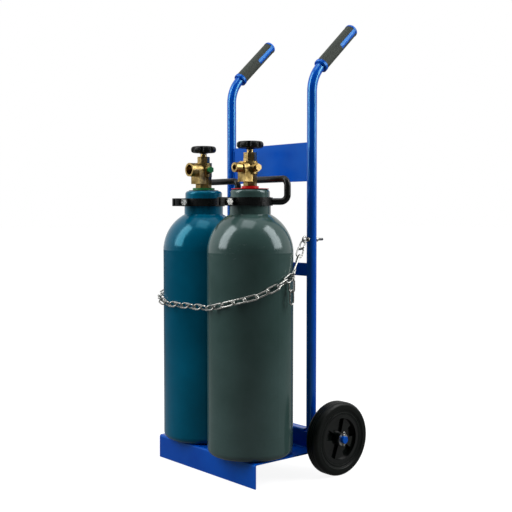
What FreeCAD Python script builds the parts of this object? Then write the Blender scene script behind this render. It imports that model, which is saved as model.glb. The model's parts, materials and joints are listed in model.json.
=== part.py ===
import FreeCAD, Part
import math
import operator
import os
from types import SimpleNamespace

import Sketcher

# Gas cylinder trolley carrying two cylinders behind a chain. Millimetres, +Z up, floor at z = 0.
# Heights on the trolley are above the floor, those on a cylinder above its own bottom.
# Depths are measured from the plane of the two uprights, which stands at y = upright_y.

SIZES = {
    # Uprights, plate and bar
    "upright_spacing": 272.0,
    "upright_y": 53.6,
    "tube_od": 21.3,
    "tube_wall": 2.0,
    "bend_start": 811.0,
    "bend_radius": 75.0,
    "bend_angle": 47.0,
    "plate_thickness": 4.0,
    "top_plate_bottom": 622.0,
    "top_plate_height": 83.0,
    "mid_bar_bottom": 419.0,
    "mid_bar_height": 28.0,
    # Base tray, folded from sheet
    "tray_width": 336.0,
    "tray_front": 185.5,
    "tray_top": 51.0,
    "sheet": 3.0,
    "sheet_bend": 5.0,
    "upstand_top": 90.0,
    "lip_depth": 15.0,
    "lip_clearance": 1.0,
    # Hand grips
    "grip_length": 134.0,
    "grip_clearance": 0.1,
    "grip_collar_od": 31.0,
    "grip_collar_length": 9.0,
    "grip_chamfer": 1.5,
    "grip_core_od": 25.2,
    "grip_sleeve_od": 28.5,
    "grip_cap_od": 29.5,
    "grip_cap_length": 8.0,
    "grip_cap_round": 6.0,
    "grip_cap_wall": 4.0,
    "window_width": 11.0,
    "window_length": 57.0,
    "window_gap": 0.1,
    # Axle and what is on it
    "axle_od": 16.0,
    "axle_chamfer": 1.0,
    "axle_overhang": 7.0,
    "running_gap": 0.3,
    "washer_od": 26.0,
    "washer_thickness": 2.0,
    "washer_clearance": 0.2,
    "spacer_od": 22.0,
    "pin_od": 3.4,
    "pin_clearance": 0.1,
    "pin_above": 10.0,
    "pin_below": 13.0,
    "pin_eye_od": 8.0,
    "pin_eye_wire": 2.4,
    # Wheels
    "wheel_od": 156.0,
    "wheel_width": 32.0,
    "wheel_track": 390.0,
    "hub_od": 30.0,
    "hub_length": 34.0,
    "bush_od": 20.0,
    "bush_clearance": 0.05,
    "rim_od": 104.0,
    "rim_inner_od": 88.0,
    "rim_width": 27.0,
    "web_thickness": 5.0,
    "spoke_hub_width": 7.0,
    "spoke_rim_width": 30.0,
    "spoke_thickness": 16.0,
    "spoke_bite": 0.5,
    "tyre_shoulder": 8.0,
    "tyre_step": 2.0,
    "tyre_step_od": 126.0,
    "groove_width": 2.0,
    "groove_depth": 2.0,
    "groove_pitch": 5.0,
    # Eye bolts that hold the chain
    "eye_height": 498.0,
    "eye_od": 16.0,
    "eye_wire": 3.6,
    "eye_bite": 0.5,
    "eye_bolt_od": 5.8,
    "eye_bolt_clearance": 0.2,
    "eye_shoulder_od": 10.0,
    "eye_shoulder": 1.5,
    "eye_bolt_tail": 32.0,
    "nut_flats": 10.0,
    "nut_height": 5.0,
    # Chain: one link, then its heights along the route
    "link_wire": 4.0,
    "link_inner": 26.0,
    "link_width": 16.0,
    "link_play": 1.1,
    "chain_standoff": 8.0,
    "chain_left_height": 383.0,
    "chain_teal_height": 357.0,
    "chain_middle_height": 361.0,
    "chain_grey_height": 388.0,
    "chain_right_height": 434.0,
    "hook_bow_od": 17.0,
    "hook_mouth": 7.0,
    # Cylinder shells and the rings on their necks
    "cylinder_gap": 1.0,
    "teal_setback": 27.0,
    "grey_setback": 43.0,
    "seat_clearance": 0.3,
    "shell_od": 180.0,
    "shell_wall": 6.0,
    "shell_heel": 14.0,
    "shell_side": 421.0,
    "dish_od": 116.0,
    "dish_height": 12.0,
    "neck_od": 86.0,
    "neck_top": 536.0,
    "neck_crown": 14.0,
    "ring_od": 82.0,
    "ring_height": 16.0,
    "ring_round": 7.0,
    # Carrying handles
    "band_bottom": 518.0,
    "band_height": 17.0,
    "band_wall": 4.0,
    "band_clearance": 0.2,
    "ear_gap": 6.0,
    "ear_thickness": 5.0,
    "ear_reach": 80.0,
    "ear_bolt_reach": 64.0,
    "ear_bolt_od": 8.0,
    "ear_bolt_flats": 13.0,
    "ear_bolt_head": 5.5,
    "ear_bolt_stub": 3.0,
    "bail_od": 14.0,
    "bail_bend": 14.0,
    "bail_width": 120.0,
    "bail_setback": 50.0,
    "bail_rise": 47.0,
    # Valves
    "stem_od": 28.0,
    "stem_length": 40.0,
    "stem_clearance": 0.1,
    "tag_thickness": 1.5,
    "teal_tag_od": 66.0,
    "grey_tag_od": 78.0,
    "seal_height": 5.0,
    "teal_seal_od": 49.0,
    "grey_seal_od": 36.0,
    "foot_height": 24.5,
    "teal_foot_flats": 31.0,
    "grey_foot_flats": 25.0,
    "teal_valve_height": 31.0,
    "grey_valve_height": 27.0,
    "teal_valve_od": 37.0,
    "grey_valve_od": 32.0,
    "teal_outlet_od": 30.0,
    "grey_outlet_od": 20.0,
    "teal_outlet_bore": 22.0,
    "grey_outlet_bore": 11.0,
    "outlet_bore_depth": 18.0,
    "teal_outlet_reach": 40.0,
    "grey_outlet_reach": 42.0,
    "teal_root_od": 26.0,
    "grey_root_od": 26.0,
    "root_reach": 25.0,
    "web_rise": 9.0,
    "web_reach": 23.0,
    "boss_od": 18.0,
    "boss_reach": 22.0,
    "plug_flats": 13.0,
    "plug_height": 6.0,
    "bonnet_flats": 24.0,
    "bonnet_top": 628.0,
    "gland_od": 14.0,
    "gland_height": 6.0,
    "spindle_od": 8.0,
    "spindle_clearance": 0.08,
    "spindle_floor": 2.0,
    "handwheel_od": 56.0,
    "handwheel_height": 16.0,
    "handwheel_hub_od": 18.0,
    "handwheel_gap": 1.0,
    "handwheel_round": 6.0,
    "handwheel_undercut": 2.0,
    "dimple_od": 26.0,
    "dimple_depth": 3.0,
    "scallop_od": 13.0,
    "scallop_depth": 3.0,
    "handwheel_nut_flats": 11.0,
    "handwheel_nut_height": 4.0,
    # One overrun for every cut that leaves the solid
    "overrun": 2.0,
}

SPOKES = 5
SCALLOPS = 8
TREAD_GROOVES = 3
LINK_SIDES = 8
LINK_END_STEPS = 4
HOOK_LINKS = 2
TAIL_LINKS = 2
# How far the links lie over at the front, as a share of a quarter turn, and the links it takes to get there
FRONT_ROLL_SHARE = 0.5
ROLL_LINKS = 5
# Steps of the chain's route round each part of a cylinder, and how closely a joint is set on the route
ROUTE_STEPS = 40
ROUTE_FIT_SHARE = 1e-9
# How much of the room between two bends the bend radius may take
BEND_ROOM_SHARE = 0.98

Vector = FreeCAD.Vector
document = FreeCAD.newDocument("cylinder_trolley")
sheet = document.addObject("Spreadsheet::Sheet", "sizes")
for row, (alias, amount) in enumerate(SIZES.items(), start=1):
    sheet.set(f"A{row}", alias)
    sheet.set(f"B{row}", str(amount))
    sheet.setAlias(f"B{row}", alias)
document.recompute()

nodes = {}


# Sizes that keep their sheet formula

class Size:
    """A number from the sheet together with the formula that gives it."""

    def __init__(self, value, formula):
        self.value = value
        self.formula = formula

    def __add__(self, other):
        return combined(self, "+", other, operator.add)

    def __radd__(self, other):
        return combined(other, "+", self, operator.add)

    def __sub__(self, other):
        return combined(self, "-", other, operator.sub)

    def __rsub__(self, other):
        return combined(other, "-", self, operator.sub)

    def __mul__(self, other):
        return combined(self, "*", other, operator.mul)

    def __rmul__(self, other):
        return combined(other, "*", self, operator.mul)

    def __truediv__(self, other):
        return combined(self, "/", other, operator.truediv)

    def __neg__(self):
        return combined(0, "-", self, operator.sub)


def number(amount):
    return amount.value if isinstance(amount, Size) else amount


def formula(amount):
    return amount.formula if isinstance(amount, Size) else str(amount)


def combined(first, sign, second, action):
    value = action(number(first), number(second))
    return Size(value, f"({formula(first)} {sign} {formula(second)})")


def cosine(angle):
    return Size(math.cos(math.radians(angle.value)), f"cos({angle.formula} * 1 deg)")


def sine(angle):
    return Size(math.sin(math.radians(angle.value)), f"sin({angle.formula} * 1 deg)")


def leg(hypotenuse, other):
    """The third side of a right-angled triangle."""
    square = hypotenuse * hypotenuse - other * other
    return Size(math.sqrt(square.value), f"sqrt({square.formula})")


dim = SimpleNamespace(**{alias: Size(float(sheet.get(alias)), f"sizes.{alias}") for alias in SIZES})


def sized(colour, name):
    """The size of that name that belongs to the teal or the grey cylinder."""
    return getattr(dim, f"{colour}_{name}")


# Building blocks

def bind(thing, path, amount):
    if isinstance(amount, Size):
        thing.setExpression(path, amount.formula)


def place(thing, x=0, y=0, z=0, axis=None, angle=0):
    """Put a sub-part in the trolley's frame, turned about an axis first."""
    turn = FreeCAD.Rotation(axis or Vector(0, 0, 1), number(angle))
    thing.Placement = FreeCAD.Placement(Vector(number(x), number(y), number(z)), turn)
    for letter, amount in zip("xyz", (x, y, z)):
        bind(thing, f"Placement.Base.{letter}", amount)
    bind(thing, "Placement.Rotation.Angle", angle)
    return thing


def node(label, thing):
    """Give a finished sub-part its name."""
    thing.Label = label
    nodes[label] = thing
    return thing


def origin_item(body, role):
    return next(item for item in body.Origin.OriginFeatures if item.Role == role)


def new_body(name):
    return document.addObject("PartDesign::Body", name + "_body")


def new_sketch(body, role, offset=0):
    """An empty sketch on one of the body's own planes, moved along that plane's normal."""
    sketch = body.newObject("Sketcher::SketchObject", "sketch")
    sketch.AttachmentSupport = (origin_item(body, role), "")
    sketch.MapMode = "FlatFace"
    sketch.AttachmentOffset = FreeCAD.Placement(Vector(0, 0, number(offset)), FreeCAD.Rotation())
    bind(sketch, "AttachmentOffset.Base.z", offset)
    return sketch


def arc_between(start, end, radius):
    """The arc of under half a circle from start to end, counter-clockwise for a positive radius."""
    chord = end - start
    middle = start + chord * 0.5
    rise = math.sqrt(max(radius * radius - chord.Length ** 2 / 4, 0))
    left = Vector(-chord.y, chord.x, 0).normalize()
    side = 1 if radius > 0 else -1
    centre = middle + left * rise * side
    crown = centre + (middle - centre).normalize() * abs(radius) if rise else middle - left * radius
    return Part.Arc(start, crown, end)


def draw(sketch, corners, closed=True):
    """Lines and arcs through corners (x, y) or (x, y, radius), each held by its own dimensions.

    A radius makes the stretch to the next corner an arc.
    """
    base = sketch.GeometryCount
    count = len(corners)
    spots = [Vector(number(corner[0]), number(corner[1]), 0) for corner in corners]
    stretches = count if closed else count - 1
    rules = []
    bound = []

    def rule(size, kind, *where):
        rules.append(Sketcher.Constraint(kind, *where, number(size)))
        bound.append((len(rules) - 1, size))

    ends = []
    for index in range(stretches):
        start = spots[index]
        end = spots[(index + 1) % count]
        if len(corners[index]) == 3:
            radius = corners[index][2]
            sketch.addGeometry(arc_between(start, end, number(radius)))
            clockwise = number(radius) < 0
            rule(-radius if clockwise else radius, "Radius", base + index)
            ends.append((2, 1) if clockwise else (1, 2))
        else:
            sketch.addGeometry(Part.LineSegment(start, end))
            ends.append((1, 2))
    for index in range(stretches if closed else stretches - 1):
        after = (index + 1) % stretches
        rules.append(Sketcher.Constraint("Coincident", base + index, ends[index][1], base + after, ends[after][0]))
    for index, corner in enumerate(corners):
        item = min(index, stretches - 1)
        point = ends[item][0] if index == item else ends[item][1]
        for kind, axis, amount in (("DistanceX", -2, corner[0]), ("DistanceY", -1, corner[1])):
            if isinstance(amount, Size):
                rule(amount, kind, -1, 1, base + item, point)
            else:
                rules.append(Sketcher.Constraint("PointOnObject", base + item, point, axis))
    first = sketch.ConstraintCount
    sketch.addConstraint(rules)
    for index, size in bound:
        bind(sketch, f"Constraints[{first + index}]", size)


def draw_circle(sketch, diameter, x=0, y=0):
    item = sketch.addGeometry(Part.Circle(Vector(number(x), number(y), 0), Vector(0, 0, 1), number(diameter) / 2))
    for kind, axis, amount in (("DistanceX", -2, x), ("DistanceY", -1, y)):
        if isinstance(amount, Size):
            rule = sketch.addConstraint(Sketcher.Constraint(kind, -1, 1, item, 3, number(amount)))
            bind(sketch, f"Constraints[{rule}]", amount)
        else:
            sketch.addConstraint(Sketcher.Constraint("PointOnObject", item, 3, axis))
    rule = sketch.addConstraint(Sketcher.Constraint("Diameter", item, number(diameter)))
    bind(sketch, f"Constraints[{rule}]", diameter)


def draw_hexagon(sketch, flats):
    """A hexagon about the sketch's origin, with two corners on its horizontal axis."""
    corner = flats / math.sqrt(3)
    half = flats / 2
    draw(sketch, [(corner, 0), (corner / 2, half), (-corner / 2, half), (-corner, 0),
                  (-corner / 2, -half), (corner / 2, -half)])


def rectangle(left, bottom, right, top):
    return [(left, bottom), (right, bottom), (right, top), (left, top)]


def pad(body, sketch, length, symmetric=False):
    feature = body.newObject("PartDesign::Pad", "pad")
    feature.Profile = sketch
    feature.Length = number(length)
    bind(feature, "Length", length)
    feature.SideType = "Symmetric" if symmetric else "One side"
    return feature


def pocket_through(body, sketch):
    """Cut a sketch right through the body, both ways."""
    feature = body.newObject("PartDesign::Pocket", "pocket")
    feature.Profile = sketch
    feature.Type = "ThroughAll"
    feature.SideType = "Symmetric"
    return feature


def pocket_blind(body, sketch, depth):
    """Cut a sketch to a depth against its plane's normal."""
    feature = body.newObject("PartDesign::Pocket", "pocket")
    feature.Profile = sketch
    feature.Length = number(depth)
    bind(feature, "Length", depth)
    return feature


def polar_pattern(body, feature, count):
    pattern = body.newObject("PartDesign::PolarPattern", "pattern")
    pattern.Originals = [feature]
    pattern.Axis = (origin_item(body, "Z_Axis"), [""])
    pattern.Angle = 360
    pattern.Occurrences = count
    body.Tip = pattern
    return pattern


def revolved(name, corners):
    """A body turned about its own Z from an outline of (radius, height) corners."""
    body = new_body(name)
    sketch = new_sketch(body, "XZ_Plane")
    draw(sketch, corners)
    turn = body.newObject("PartDesign::Revolution", "turn")
    turn.Profile = sketch
    turn.ReferenceAxis = (sketch, ["V_Axis"])
    turn.Angle = 360
    return body


def tube(name, inner, outer, bottom, top):
    """A plain ring or sleeve about Z, from diameters and heights."""
    return revolved(name, rectangle(inner / 2, bottom, outer / 2, top))


def mirrored(thing):
    """The left-hand copy of a right-hand piece."""
    copy = document.addObject("Part::Mirroring", "mirrored")
    copy.Source = thing
    copy.Normal = Vector(1, 0, 0)
    return copy


def group(name, things):
    compound = document.addObject("Part::Compound", name)
    compound.Links = things
    return compound


def fused(name, things):
    union = document.addObject("Part::MultiFuse", name)
    union.Shapes = things
    return union


def primitive(kind, **sizes):
    """A Part primitive whose sizes are bound to the sheet."""
    thing = document.addObject(f"Part::{kind}", kind.lower())
    for name, amount in sizes.items():
        setattr(thing, name, number(amount))
        bind(thing, name, amount)
    return thing


def feature(name, shape):
    """A solid that no sketch or primitive describes, set from its finished shape."""
    thing = document.addObject("Part::Feature", name)
    thing.Shape = shape
    return thing


AXIS_X = Vector(1, 0, 0)
AXIS_Y = Vector(0, 1, 0)
QUARTER_TURN = 90


# Uprights, plate, bar and tray

def bend_end():
    """Depth and height at which the upright's bend runs into its straight handle."""
    depth = dim.bend_radius * (1 - cosine(dim.bend_angle))
    height = dim.bend_start + dim.bend_radius * sine(dim.bend_angle)
    return depth, height


def uprights():
    body = new_body("upright")
    depth, height = bend_end()
    straight = dim.grip_length - dim.grip_cap_wall - dim.grip_clearance
    route = new_sketch(body, "YZ_Plane")
    draw(route, [(0, dim.tray_top), (0, dim.bend_start, -dim.bend_radius), (depth, height),
                 (depth + straight * sine(dim.bend_angle), height + straight * cosine(dim.bend_angle))],
         closed=False)
    section = new_sketch(body, "XY_Plane", dim.tray_top)
    draw_circle(section, dim.tube_od)
    draw_circle(section, dim.tube_od - 2 * dim.tube_wall)
    pipe = body.newObject("PartDesign::AdditivePipe", "pipe")
    pipe.Profile = section
    pipe.Spine = (route, ["Edge1", "Edge2", "Edge3"])
    hole = new_sketch(body, "XZ_Plane")
    draw_circle(hole, dim.eye_bolt_od + 2 * dim.eye_bolt_clearance, 0, dim.eye_height)
    pocket_through(body, hole)
    place(body, dim.upright_spacing / 2, dim.upright_y)
    node("right_upright", body)
    node("left_upright", mirrored(body))


def cross_plate(label, bottom, height):
    """A flat bar welded between the uprights."""
    body = new_body(label)
    half = (dim.upright_spacing - dim.tube_od) / 2
    sketch = new_sketch(body, "XZ_Plane")
    draw(sketch, rectangle(-half, bottom, half, bottom + height))
    pad(body, sketch, dim.plate_thickness, symmetric=True)
    node(label, place(body, 0, dim.upright_y))


def base_tray():
    """Front flange down to the floor, flat tray, upstand at the back and a lip between the uprights."""
    body = new_body("base_tray")
    inner = dim.sheet_bend - dim.sheet
    front = -dim.tray_front
    back = -dim.tube_od / 2
    face = back - dim.sheet
    top = dim.tray_top
    under = dim.tray_top - dim.sheet
    fold = dim.upstand_top - dim.sheet_bend
    profile = new_sketch(body, "YZ_Plane")
    draw(profile, [
        (front, 0), (front, top - dim.sheet_bend, -dim.sheet_bend), (front + dim.sheet_bend, top),
        (face - inner, top, inner), (face, top + inner), (face, fold), (back, fold),
        (back, top + inner, -dim.sheet_bend), (face - inner, under),
        (front + dim.sheet_bend, under, inner), (front + dim.sheet, top - dim.sheet_bend),
        (front + dim.sheet, 0)])
    pad(body, profile, dim.tray_width, symmetric=True)
    lip = new_sketch(body, "YZ_Plane")
    draw(lip, [
        (face, fold, -dim.sheet_bend), (face + dim.sheet_bend, dim.upstand_top),
        (face + dim.lip_depth, dim.upstand_top), (face + dim.lip_depth, dim.upstand_top - dim.sheet),
        (face + dim.sheet_bend, dim.upstand_top - dim.sheet, inner), (back, fold)])
    pad(body, lip, dim.upright_spacing - dim.tube_od - 2 * dim.lip_clearance, symmetric=True)
    node("base_tray", place(body, 0, dim.upright_y))


# Hand grips, built along the handle from the end of the bend

def place_on_handle(thing):
    depth, height = bend_end()
    return place(thing, dim.upright_spacing / 2, dim.upright_y + depth, height, Vector(-1, 0, 0), dim.bend_angle)


def grip_core():
    bore = dim.tube_od / 2 + dim.grip_clearance
    collar = dim.grip_collar_od / 2
    barrel = dim.grip_core_od / 2
    cap = dim.grip_cap_od / 2
    cap_start = dim.grip_length - dim.grip_cap_length
    floor = dim.grip_length - dim.grip_cap_wall
    body = revolved("grip_core", [
        (bore, 0), (collar - dim.grip_chamfer, 0), (collar, dim.grip_chamfer),
        (collar, dim.grip_collar_length - dim.grip_chamfer),
        (collar - dim.grip_chamfer, dim.grip_collar_length), (barrel, dim.grip_collar_length),
        (barrel, cap_start), (cap, cap_start),
        (cap, dim.grip_length - dim.grip_cap_round, dim.grip_cap_round),
        (cap - dim.grip_cap_round, dim.grip_length), (0, dim.grip_length), (0, floor), (bore, floor)])
    half = dim.window_width / 2 - dim.window_gap
    outer = dim.grip_sleeve_od / 2
    edge = leg(outer, half)
    root = leg(barrel, half) - dim.tube_wall / 4
    windows = new_sketch(body, "XY_Plane", cap_start - dim.window_length + dim.window_gap)
    draw(windows, [(root, -half), (edge, -half, outer), (edge, half), (root, half)])
    draw(windows, [(-root, half), (-edge, half, outer), (-edge, -half), (-root, -half)])
    pad(body, windows, dim.window_length)
    return body


def grip_sleeve():
    start = dim.grip_collar_length
    end = dim.grip_length - dim.grip_cap_length
    body = tube("grip_sleeve", dim.grip_core_od, dim.grip_sleeve_od, start, end)
    half = dim.window_width / 2
    window = new_sketch(body, "YZ_Plane")
    draw(window, rectangle(-half, end - dim.window_length, half, end + dim.overrun))
    pocket_through(body, window)
    return body


def grips():
    for name, body in (("grip_core", grip_core()), ("grip_sleeve", grip_sleeve())):
        node(f"right_{name}", place_on_handle(body))
        node(f"left_{name}", mirrored(body))


# Axle, wheels and what keeps them on

def axle_depth():
    return dim.tube_od / 2 + dim.axle_od / 2


def place_on_axle(thing, x):
    """Turn a piece built about Z to lie about the axle, its top outwards."""
    return place(thing, x, dim.upright_y + axle_depth(), dim.wheel_od / 2, AXIS_Y, QUARTER_TURN)


def hub_face():
    return dim.wheel_track / 2 + dim.hub_length / 2


def washer_face():
    return hub_face() + dim.running_gap + dim.washer_thickness


def pin_place():
    return washer_face() + dim.running_gap + dim.pin_od / 2


def axle():
    half = washer_face() + dim.axle_overhang
    radius = dim.axle_od / 2
    body = revolved("axle", [
        (0, -half), (radius - dim.axle_chamfer, -half), (radius, -half + dim.axle_chamfer),
        (radius, half - dim.axle_chamfer), (radius - dim.axle_chamfer, half), (0, half)])
    holes = new_sketch(body, "YZ_Plane")
    for side in (-1, 1):
        draw_circle(holes, dim.pin_od + 2 * dim.pin_clearance, 0, side * pin_place())
    pocket_through(body, holes)
    node("axle", place_on_axle(body, 0))


def axle_fittings():
    bore = dim.axle_od + 2 * dim.washer_clearance
    start = dim.upright_spacing / 2 + dim.tube_od / 2
    end = dim.wheel_track / 2 - dim.hub_length / 2 - dim.running_gap
    spacer = place_on_axle(tube("spacer", bore, dim.spacer_od, 0, end - start), start)
    washer = place_on_axle(tube("washer", bore, dim.washer_od, 0, dim.washer_thickness),
                           hub_face() + dim.running_gap)
    node("axle_spacers", group("axle_spacers", [spacer, mirrored(spacer)]))
    node("axle_washers", group("axle_washers", [washer, mirrored(washer)]))


def cotter_pins():
    """A split pin upright through each end of the axle, its eye at the top."""
    depth = dim.upright_y + axle_depth()
    height = dim.wheel_od / 2
    ring = (dim.pin_eye_od - dim.pin_eye_wire) / 2
    shank = primitive("Cylinder", Radius=dim.pin_od / 2, Height=dim.pin_below + dim.pin_above)
    place(shank, pin_place(), depth, height - dim.pin_below)
    eye = primitive("Torus", Radius1=ring, Radius2=dim.pin_eye_wire / 2)
    place(eye, pin_place(), depth, height + dim.pin_above + ring, AXIS_Y, QUARTER_TURN)
    pin = fused("cotter_pin", [shank, eye])
    node("cotter_pins", group("cotter_pins", [pin, mirrored(pin)]))


def tyre():
    """Tread with grooves, round shoulders and a step part of the way down each side wall."""
    seat = dim.rim_od / 2
    crown = dim.wheel_od / 2
    half = dim.wheel_width / 2
    wall = half - dim.tyre_step
    step = dim.tyre_step_od / 2
    tread = []
    for index in range(TREAD_GROOVES):
        middle = dim.groove_pitch * (index - (TREAD_GROOVES - 1) / 2)
        low = middle - dim.groove_width / 2
        high = middle + dim.groove_width / 2
        tread += [(crown, low), (crown - dim.groove_depth, low), (crown - dim.groove_depth, high), (crown, high)]
    return revolved("tyre", [
        (seat, -wall), (step - dim.tyre_step, -wall), (step, -half),
        (crown - dim.tyre_shoulder, -half, dim.tyre_shoulder), (crown, dim.tyre_shoulder - half),
        *tread,
        (crown, half - dim.tyre_shoulder, dim.tyre_shoulder), (crown - dim.tyre_shoulder, half),
        (step, half), (step - dim.tyre_step, wall), (seat, wall)])


def rim():
    """Hub, closed web and rim in one, with spokes that widen towards the rim on both faces."""
    bore = dim.bush_od / 2
    hub = dim.hub_od / 2
    inner = dim.rim_inner_od / 2
    outer = dim.rim_od / 2
    long = dim.hub_length / 2
    wide = dim.rim_width / 2
    web = dim.web_thickness / 2
    body = revolved("rim", [
        (bore, -long), (hub, -long), (hub, -web), (inner, -web), (inner, -wide), (outer, -wide),
        (outer, wide), (inner, wide), (inner, web), (hub, web), (hub, long), (bore, long)])
    start = hub - dim.spoke_bite
    end = inner + dim.spoke_bite
    narrow = dim.spoke_hub_width / 2
    broad = dim.spoke_rim_width / 2
    outline = new_sketch(body, "XY_Plane")
    draw(outline, [(start, -narrow), (end, -broad), (end, broad), (start, narrow)])
    spoke = pad(body, outline, dim.spoke_thickness, symmetric=True)
    polar_pattern(body, spoke, SPOKES)
    return body


def bush():
    half = dim.hub_length / 2
    return tube("bush", dim.axle_od + 2 * dim.bush_clearance, dim.bush_od, -half, half)


def wheels():
    for name, body in (("tyre", tyre()), ("rim", rim()), ("bush", bush())):
        place_on_axle(body, dim.wheel_track / 2)
        node(f"right_{name}", body)
        node(f"left_{name}", mirrored(body))


# Eye bolts through the uprights

def eye_depth():
    """Depth of the eye's centre, in front of the uprights."""
    return -dim.tube_od / 2 - dim.eye_shoulder - dim.eye_od / 2 + dim.eye_bite


def eye_bolts():
    x = dim.upright_spacing / 2
    front = dim.tube_od / 2 + dim.eye_shoulder
    shoulder = primitive("Cylinder", Radius=dim.eye_shoulder_od / 2, Height=dim.eye_shoulder)
    place(shoulder, x, dim.upright_y - front, dim.eye_height, Vector(-1, 0, 0), QUARTER_TURN)
    shank = primitive("Cylinder", Radius=dim.eye_bolt_od / 2, Height=front + dim.eye_bolt_tail)
    place(shank, x, dim.upright_y - front, dim.eye_height, Vector(-1, 0, 0), QUARTER_TURN)
    eye = primitive("Torus", Radius1=(dim.eye_od - dim.eye_wire) / 2, Radius2=dim.eye_wire / 2)
    place(eye, x, dim.upright_y + eye_depth(), dim.eye_height, AXIS_Y, QUARTER_TURN)
    bolt = fused("eye_bolt", [shoulder, shank, eye])
    node("eye_bolts", group("eye_bolts", [bolt, mirrored(bolt)]))
    nut = hex_nut("eye_nut", dim.nut_flats, dim.nut_height, dim.eye_bolt_od + 2 * dim.eye_bolt_clearance)
    place(nut, x, dim.upright_y + dim.tube_od / 2, dim.eye_height, Vector(-1, 0, 0), QUARTER_TURN)
    node("eye_bolt_nuts", group("eye_bolt_nuts", [nut, mirrored(nut)]))


def hex_nut(name, flats, height, bore):
    body = new_body(name)
    sketch = new_sketch(body, "XY_Plane")
    draw_hexagon(sketch, flats)
    draw_circle(sketch, bore)
    pad(body, sketch, height)
    return body


# Chain: separate links of bent wire, each threaded through the next

def wire_ring(centre, outward, normal, radius):
    """Corner points of the wire's section, in the plane of outward and normal."""
    points = []
    for side in range(LINK_SIDES):
        angle = 2 * math.pi * (side + 0.5) / LINK_SIDES
        points.append(centre + outward * (radius * math.cos(angle)) + normal * (radius * math.sin(angle)))
    return points


def link_solid():
    """One link along X about the origin, a closed oval of faceted wire that lies in the XY plane."""
    wire = dim.link_wire.value / 2
    bow = dim.link_width.value / 2 - wire
    straight = dim.link_inner.value / 2 + wire - bow
    mitre = 1 / math.cos(math.pi / LINK_END_STEPS / 2)
    rings = []
    for end in (1, -1):
        for step in range(LINK_END_STEPS + 1):
            angle = math.pi * (step / LINK_END_STEPS - 0.5) + (0 if end > 0 else math.pi)
            outward = Vector(math.cos(angle), math.sin(angle), 0)
            centre = Vector(end * straight, 0, 0) + outward * bow
            lean = 1 if step in (0, LINK_END_STEPS) else mitre
            ring = wire_ring(centre, outward * lean, Vector(0, 0, 1), wire)
            rings.append(ring)
    faces = []
    for ring, after in zip(rings, rings[1:] + rings[:1]):
        for side in range(LINK_SIDES):
            beside = (side + 1) % LINK_SIDES
            for triangle in ((ring[side], after[side], after[beside]), (ring[side], after[beside], ring[beside])):
                faces.append(Part.Face(Part.makePolygon([*triangle, triangle[0]])))
    return Part.makeSolid(Part.makeShell(faces))


def link_between(start, end, lateral):
    """A link whose two joints lie at start and end, flat in the plane of its axis and lateral."""
    along = (end - start).normalize()
    normal = along.cross(lateral).normalize()
    turn = FreeCAD.Rotation(along, normal.cross(along), normal, "XZY")
    link = link_solid()
    link.Placement = FreeCAD.Placement((start + end) * 0.5, turn)
    return link


def rolled(along, share):
    """The sideways direction of a link on that axis, rolled by a share of a quarter turn."""
    level = along.cross(Vector(0, 0, 1)).normalize()
    raised = level.cross(along)
    angle = math.pi / 2 * share
    return level * math.cos(angle) + raised * math.sin(angle)


def roll_towards(along, target):
    """The roll that turns a link's side as near as it goes to a direction."""
    level = along.cross(Vector(0, 0, 1)).normalize()
    raised = level.cross(along)
    return math.atan(target.dot(raised) / target.dot(level)) / (math.pi / 2)


def tangent_angle(centre, eye, reach, side):
    """Where a straight run from an eye meets the round that the chain makes about a cylinder."""
    away = eye - centre
    return math.atan2(away.y, away.x) + side * math.acos(reach / away.Length)


def chain_route(left_eye, right_eye):
    """Points of the route from the left eye round the front of both cylinders."""
    reach = dim.shell_od.value / 2 + dim.chain_standoff.value
    half = cylinder_side().value
    teal = Vector(-half, -cylinder_depth("teal").value, 0)
    grey = Vector(half, -cylinder_depth("grey").value, 0)
    across = (grey - teal).normalize()
    front = math.atan2(-across.x, across.y) + 2 * math.pi
    teal_start = tangent_angle(teal, Vector(left_eye.x, left_eye.y, 0), reach, 1)
    grey_end = tangent_angle(grey, Vector(right_eye.x, right_eye.y, 0), reach, -1) + 2 * math.pi
    left = dim.chain_left_height.value
    stations = [(teal, teal_start, (left_eye.z + left) / 2),
                (teal, math.pi, left),
                (teal, front, dim.chain_teal_height.value),
                (grey, front, dim.chain_middle_height.value),
                (grey, (front + grey_end) / 2, dim.chain_grey_height.value),
                (grey, grey_end, dim.chain_right_height.value)]
    points = []
    for (centre, angle, height), (after, after_angle, after_height) in zip(stations, stations[1:]):
        steps = ROUTE_STEPS if centre is after else 1
        for step in range(steps):
            share = step / steps
            bearing = angle + (after_angle - angle) * share
            level = height + (after_height - height) * share
            points.append(centre + Vector(reach * math.cos(bearing), reach * math.sin(bearing), level))
    end = Vector(reach * math.cos(grey_end), reach * math.sin(grey_end), dim.chain_right_height.value)
    return [eye_joint(left_eye, points[0])] + points + [grey + end]


def joints_along(points, spacing):
    """Points on a route, each the same straight distance from the one before."""
    joints = [points[0]]
    for start, end in zip(points, points[1:]):
        while (end - joints[-1]).Length >= spacing:
            low = 0.0
            high = 1.0
            while high - low > ROUTE_FIT_SHARE:
                middle = (low + high) / 2
                if (start + (end - start) * middle - joints[-1]).Length < spacing:
                    low = middle
                else:
                    high = middle
            start = start + (end - start) * high
            joints.append(start)
    return joints


def rounded_route(points, bend):
    """Straight runs through the points, joined by tangent arcs of one radius."""
    edges = []
    start = points[0]
    for before, corner, after in zip(points, points[1:], points[2:]):
        back = (before - corner).normalize()
        ahead = (after - corner).normalize()
        half_turn = (math.pi - back.getAngle(ahead)) / 2
        inward = (back + ahead).normalize()
        centre = corner + inward * (bend / math.cos(half_turn))
        reach = bend * math.tan(half_turn)
        edges.append(Part.LineSegment(start, corner + back * reach).toShape())
        edges.append(Part.Arc(corner + back * reach, centre - inward * bend, corner + ahead * reach).toShape())
        start = corner + ahead * reach
    edges.append(Part.LineSegment(start, points[-1]).toShape())
    return Part.Wire(edges)


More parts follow.
